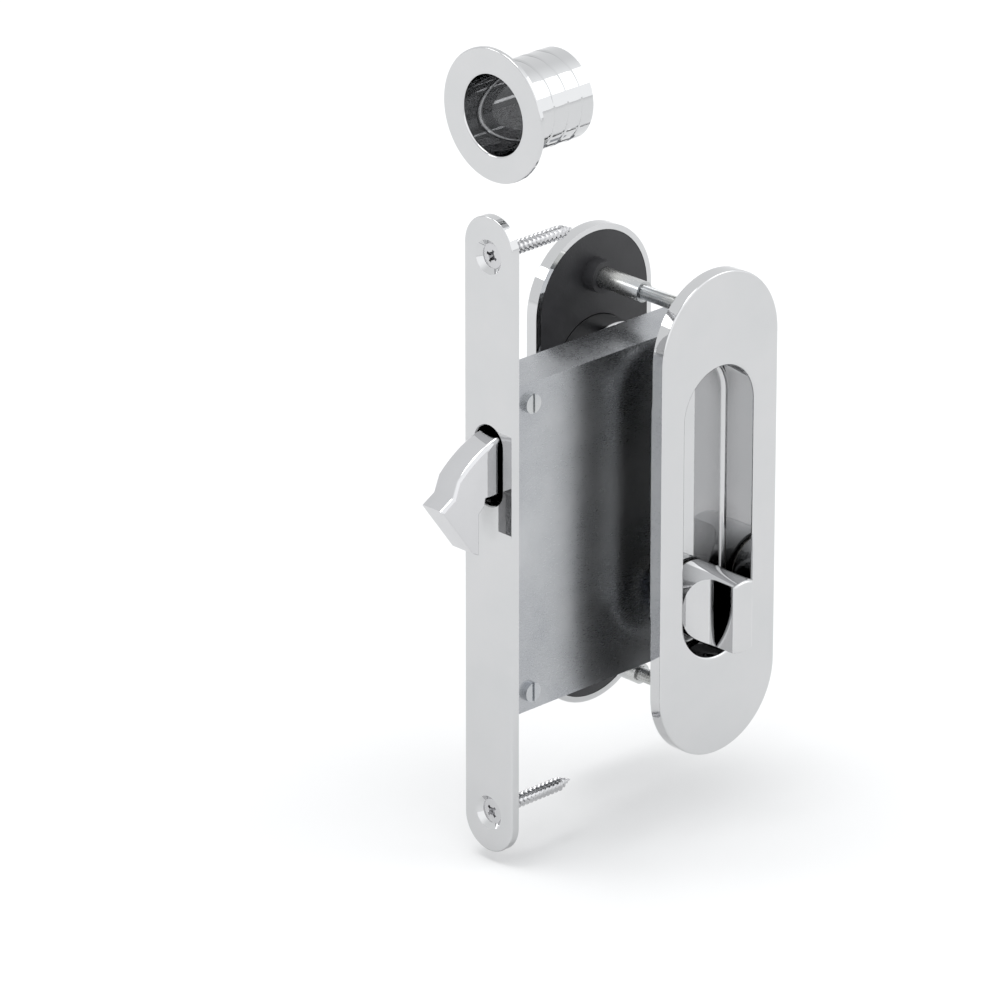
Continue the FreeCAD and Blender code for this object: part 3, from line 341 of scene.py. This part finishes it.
def thread(core, crest, pitch, start, end, middle, steps=40):
    """Rings of a screw thread from start to end, eight to each turn."""
    rings = []
    count = int(abs(end - start) / pitch * 8)
    for row in range(count + 1):
        out = start + (end - start) * row / count
        ring = []
        for step in range(steps):
            turn = 2 * math.pi * step / steps
            phase = (out / pitch + step / steps) % 1.0
            ridge = max(0.0, 1 - abs(phase - 0.5) / 0.24)
            radius = core + (crest - core) * min(1.0, ridge * 1.15)
            ring.append((middle[0] + radius * math.cos(turn), middle[1] + radius * math.sin(turn), out))
        rings.append(ring)
    return rings


def turned_box(width, height, out, middle, turn=0.0):
    """The ring of a rectangle, turned about its middle."""
    ring = []
    for side, end in ((-1, -1), (1, -1), (1, 1), (-1, 1)):
        across, up = side * width / 2, end * height / 2
        spot_across = middle[0] + across * math.cos(turn) - up * math.sin(turn)
        ring.append((spot_across, middle[1] + across * math.sin(turn) + up * math.cos(turn), out))
    return ring


def blade(width, height, low, high, middle, project, turn=0.0):
    """A driver's blade for cutting a recess. Its longer side tapers towards the low end."""
    taper = 0.72
    small = (width, height * taper) if width < height else (width * taper, height)
    rings = [turned_box(*small, low, middle, turn), turned_box(width, height, high, middle, turn)]
    return skin("blade", rings, project)


def faceplate_screws():
    """Wood screws: a thread that tapers to its point, a plain shank and a raised countersunk head."""
    screws = []
    tip, taper = -28.0, 4.5
    for height, turn in ((SCREW_HEIGHT, 0.35), (-SCREW_HEIGHT, 0.8)):
        middle = (0.0, height)
        tapered = []
        for ring in thread(1.45, 2.0, 1.55, -27.9, -4.0, middle):
            share = min(1.0, (ring[0][2] - tip) / taper + 0.06)
            tapered.append([(a * share, height + (b - height) * share, out) for a, b, out in ring])
        plain = [(2.0, -3.6), (2.0, 0.0), (2.4, 0.02), (2.4, 0.25), (3.45, 1.12), (3.48, 1.16), (3.2, 1.24)]
        plain += [(2.4, 1.31), (1.2, 1.345)]
        rings = tapered + [circle(radius, out, middle, 40) for radius, out in plain]
        cross = [
            blade(0.8, 3.9, -0.2, 1.6, middle, edge, turn),
            blade(3.9, 0.8, -0.2, 1.6, middle, edge, turn),
            skin("centre", [circle(0.45, -0.4, middle, 24), circle(1.25, 1.6, middle, 24)], edge),
        ]
        screws.append(cut(skin("screw", rings, edge), *cross))
    show(joined("faceplate_screws_visual", screws), "faceplate_screws", 35)


def finger_pull():
    """A flanged cup whose barrel has three shallow grooves."""
    barrel, flange, bore, foot = 12.5, 18.3, 10.9, -21.4
    outline = [(11.9, -24.0), (barrel, -23.4)]
    for groove in (-19.0, -14.0, -9.0):
        outline += [(barrel, groove - 0.8), (12.15, groove - 0.5)]
        outline += [(12.15, groove + 0.5), (barrel, groove + 0.8)]
    outline += [(barrel, 0.0), (flange, 0.0), (flange, 0.7)]
    outline += quarter((flange, 0.7), (17.9, 1.1), out_first=True)[1:]
    outline += quarter((11.6, 1.1), (bore, 0.4), out_first=False)
    outline += [(bore, foot)] + quarter((bore, foot), (9.7, -22.6), out_first=True)[1:]
    rings = [circle(radius, out, (0, CUP_HEIGHT), 128) for radius, out in outline]
    show(skin("finger_pull_visual", rings, edge), "finger_pull_cup")


# ---------------------------------------------------------------- flush pulls


def pull_shell(name, node_name, project):
    """A flush pull: a rim with a hollow back, and a cup sunk through the door's face."""
    rim, cup = (47.75, (PULL_MIDDLE, -3.2)), (28.7, (PULL_MIDDLE, -2.4))
    outline = [(*point, cup) for point in quarter((12.9, 13.2), (14.3, 14.6), out_first=False)]
    outline += [(14.3, 24.3, cup), (20.1, 24.3, rim), (20.1, 22.0, rim), (21.7, 22.0, rim), (21.7, 25.4, rim)]
    outline += [(*point, rim) for point in quarter((21.7, 25.4), (21.2, FACE), out_first=True, steps=4)[1:]]
    outline += [(*point, cup) for point in quarter((13.9, FACE), (13.1, 25.1), out_first=False)]
    outline += [(*point, cup) for point in quarter((13.1, 16.1), (11.4, RECESS_FLOOR), out_first=True)]
    rings = [stadium(radius, reach, middle, out) for radius, out, (reach, middle) in outline]
    neck = [circle(6.55, out, (PULL_MIDDLE, TURN_HEIGHT)) for out in (12.0, 15.0)]
    show(cut(skin(name, rings, project), skin("neck", neck, project)), node_name)


# Radius and place of each step of the stem under either knob, with the groove for its clip.
STEM = [(5.05, 9.65), (5.05, 11.2), (4.3, 11.2), (4.3, 12.1), (5.05, 12.1), (5.05, 15.05)]


def thumbturn():
    """A round knob with a scoop each side that leaves an upright grip across its middle."""
    middle = (PULL_MIDDLE, TURN_HEIGHT)
    knob, grip, scoop_floor, sweep = 10.3, 3.6, 22.4, 6.5
    sections = [(radius, radius, out) for radius, out in STEM]
    sections += [(9.9, 9.9, 15.05), (knob, knob, 15.45), (knob, knob, scoop_floor - 0.2)]
    for step in range(13):
        turn = math.pi / 2 * step / 12
        half_width = grip + sweep * (1 - math.sin(turn))
        sections.append((knob, half_width, scoop_floor + sweep * (1 - math.cos(turn))))
    for less, rise in quarter((0.0, 34.75), (0.75, 35.5), out_first=True, steps=5):
        sections.append((knob - less, grip - less, rise))
    rings = [barred(radius, half_width, middle, out) for radius, half_width, out in sections]
    socket = [turned_box(5.1, 5.1, out, middle) for out in (9.0, 21.2)]
    show(cut(skin("thumbturn_visual", rings, front), skin("socket", socket, front)), "thumbturn")


def release_button():
    """The low round button on the other side, with a coin slot."""
    middle = (PULL_MIDDLE, TURN_HEIGHT)
    outline = STEM + [(9.2, 15.05), (9.5, 15.35), (9.5, 17.25)]
    outline += quarter((9.5, 17.25), (9.1, 17.65), out_first=True)[1:]
    button = skin("release_visual", [circle(radius, out, middle) for radius, out in outline], rear)
    mouth = ((1.2, 15.85), (1.2, 17.4), (1.5, 17.7), (1.5, 18.0))
    slot = [stadium(radius, 5.3, middle, out) for radius, out in mouth]
    socket = [turned_box(5.1, 5.1, out, middle) for out in (9.0, 15.45)]
    show(cut(button, skin("slot", slot, rear), skin("socket", socket, rear)), "release_button")


# ---------------------------------------------------------------- hook


def hook():
    """The hook as a plate with rounded edges: each run of its outline has its own rounding."""
    pivot, half = Vector((6.0, -2.0)), 4.2
    bore_radius, hub_radius, back_radius = 3.3, 4.6, 33.2
    plain, slight, full = 0.0, 0.4, 1.3
    teeth, pitch_radius = 23, 11.5
    pressure = math.radians(25)
    base = pitch_radius * math.cos(pressure)

    def turn_of(radius):
        angle = math.acos(min(base / radius, 1))
        return math.tan(angle) - angle

    throat = [(-9.9, -1.3), (-9.9, 10.4), (-7.9, 12.1), (-7.5, 14.2)]
    outline = [(spot, slight) for spot in throat]
    for step in range(9):
        turn = math.pi / 2 * step / 8
        outline.append(((0.2 + 2 * math.sin(turn), 12.2 + 2 * math.cos(turn)), slight))
    for step in range(25):
        turn = math.radians(145.7 + 190.8 * step / 24)
        spot = (pivot.x + hub_radius * math.cos(turn), pivot.y + hub_radius * math.sin(turn))
        outline.append((spot, plain))
    half_tooth = (math.pi / 2 - 0.075) / 2 / pitch_radius + turn_of(pitch_radius)
    for tooth in range(-1, 5):
        centre = 2 * math.pi * tooth / teeth
        radii = [10.5 + 1.8 * step / 4 for step in range(5)]
        flank = [(radius, centre - half_tooth + turn_of(radius)) for radius in radii]
        flank += [(radius, 2 * centre - turn) for radius, turn in reversed(flank)]
        outline += [((pivot.x + r * math.cos(t), pivot.y + r * math.sin(t)), plain) for r, t in flank]
    back_start, back_end = 9.7, -17.2
    back_top = pivot.y + math.sqrt(back_radius**2 - 3.7**2)
    outline += [((9.98, 7.7), plain), ((back_start, back_top), full)]
    for step in range(1, 25):
        across = back_start + (back_end - back_start) * step / 24
        up = pivot.y + math.sqrt(back_radius**2 - (across - pivot.x) ** 2)
        outline.append(((across, up), full))
    crease, nose, beak = (-19.0, 17.3), (-23.2, 14.9), (-12.0, -0.3)
    outline += [(crease, full), (nose, slight), (beak, slight)]

    spots = [Vector(spot) for spot, _ in outline]
    rounds = [size for _, size in outline]
    count = len(spots)
    inwards = []
    for index in range(count):
        run = (spots[(index + 1) % count] - spots[index]).normalized()
        inwards.append(Vector((-run.y, run.x)))
    rings = []
    for depth in (-4.2, -4.12, -4.0, -3.8, -3.5, -3.2, -2.9, 2.9, 3.2, 3.5, 3.8, 4.0, 4.12, 4.2):
        inset = []
        for size in rounds:
            over = abs(depth) - (half - size)
            inset.append(size - math.sqrt(max(size**2 - over**2, 0)) if over > 0 else 0.0)
        ring = []
        for index in range(count):
            one, two = inwards[index - 1], inwards[index]
            bend = 1 + one.dot(two)
            if bend < 0.2 or abs(inset[index - 1] - inset[index]) < 1e-9:
                shift = (one + two) * (inset[index] / max(bend, 0.2))
            else:
                cross = one.x * two.y - one.y * two.x
                if abs(cross) < 1e-3:
                    shift = two * min(inset[index - 1], inset[index])
                else:
                    first, second = inset[index - 1], inset[index]
                    shift = Vector((first * two.y - second * one.y, second * one.x - first * two.x)) / cross
            spot = spots[index] + shift
            ring.append((spot.x, spot.y, depth))
        rings.append(ring)
    bore = [circle(bore_radius, out, pivot, 48) for out in (-5.0, 5.0)]
    show(cut(skin("hook_visual", rings, front), skin("bore", bore, front)), "hook_bolt", 20)


# ---------------------------------------------------------------- bolts that draw the two pulls together


def through_bolts():
    bolts = []
    for height in BOLT_HEIGHTS:
        middle = (PULL_MIDDLE, height)
        rings = thread(1.6, 2.0, 0.7, -8.0, 17.6, middle, steps=32)
        plain = [(2.0, 17.9), (2.9, 18.0), (2.9, 23.9), (3.6, 23.9), (3.7, 24.0), (3.6, 24.2)]
        rings += [circle(radius, out, middle, 32) for radius, out in plain]
        bolts.append(cut(skin("bolt", rings, front), blade(1.0, 4.0, 23.0, 25.0, middle, front, 0.4)))
    show(joined("through_bolts_visual", bolts), "through_bolts", 35)


faceplate()
faceplate_screws()
finger_pull()
pull_shell("front_pull_visual", "front_pull_shell", front)
pull_shell("rear_pull_visual", "rear_pull_shell", rear)
thumbturn()
release_button()
hook()
through_bolts()


# ---------------------------------------------------------------- floor, lights and camera


def plane(name, size, place):
    half = size / 2
    mesh = bpy.data.meshes.new(name)
    corners = [(-half, -half, 0), (half, -half, 0), (half, half, 0), (-half, half, 0)]
    mesh.from_pydata(corners, [], [(0, 1, 2, 3)])
    thing = bpy.data.objects.new(name, mesh)
    thing.location = place
    scene.collection.objects.link(thing)
    return thing


floor = plane("floor", 14.0, (1.0, 1.0, -0.094))
floor_paint, floor_surface, floor_add, floor_links = new_material("floor_paint")
floor_place = floor_add("ShaderNodeTexCoord").outputs["Object"]
floor_cloud = floor_add("ShaderNodeTexNoise", {"Vector": floor_place, "Scale": 1.2, "Detail": 3.0})
floor_greys = [(0.3, (0.745, 0.745, 0.745)), (0.7, (0.77, 0.77, 0.77))]
floor_colour = ramp(floor_add, floor_cloud.outputs["Fac"], floor_greys)
floor_links.new(floor_colour, floor_surface.inputs["Base Color"])
floor_surface.inputs["Roughness"].default_value = 0.9
floor.data.materials.append(floor_paint)


def soft_light(name, place, size, power):
    """An area light of size (width, height) in metres, aimed at the middle of the faceplate."""
    light = bpy.data.lights.new(name, "AREA")
    light.shape = "RECTANGLE"
    light.size, light.size_y = size
    light.energy = power
    lamp = bpy.data.objects.new(name, light)
    lamp.location = place
    lamp.rotation_euler = (-Vector(place)).to_track_quat("-Z", "Y").to_euler()
    scene.collection.objects.link(lamp)


soft_light("overhead", (-0.6, 0.5, 3.0), (1.6, 1.2), 24)
soft_light("back_left", (-1.35, 1.55, 1.2), (0.7, 0.45), 3.4)
soft_light("front_right", (1.55, -1.1, 1.4), (1.2, 1.0), 5)

# The room is brighter in front of the pull, where its reflections go up, than behind it.
world = bpy.data.worlds.new("studio")
world.use_nodes = True
sky_nodes, sky_links = world.node_tree.nodes, world.node_tree.links
heading = sky_nodes.new("ShaderNodeSeparateXYZ")
sky_links.new(sky_nodes.new("ShaderNodeTexCoord").outputs["Generated"], heading.inputs[0])
glow = sky_nodes.new("ShaderNodeMapRange")
glow.interpolation_type = "SMOOTHSTEP"
for key, value in {"From Min": -0.5, "From Max": 0.3, "To Min": 1.45, "To Max": 1.0}.items():
    glow.inputs[key].default_value = value
sky_links.new(heading.outputs["Y"], glow.inputs["Value"])
sky = sky_nodes["Background"]
sky.inputs["Color"].default_value = (0.98, 0.99, 1.0, 1)
sky_links.new(glow.outputs["Result"], sky.inputs["Strength"])
scene.world = world

camera_data = bpy.data.cameras.new("camera")
camera_data.sensor_width = 36.0
camera_data.lens = 298.53
camera_data.clip_end = 40.0
camera = bpy.data.objects.new("camera", camera_data)
look_down, heading_angle = 0.400746, -0.768607
camera.location = (-1.399851, -1.449433, 0.864130)
camera.rotation_euler = (math.pi / 2 - look_down, 0, heading_angle)
scene.collection.objects.link(camera)
scene.camera = camera
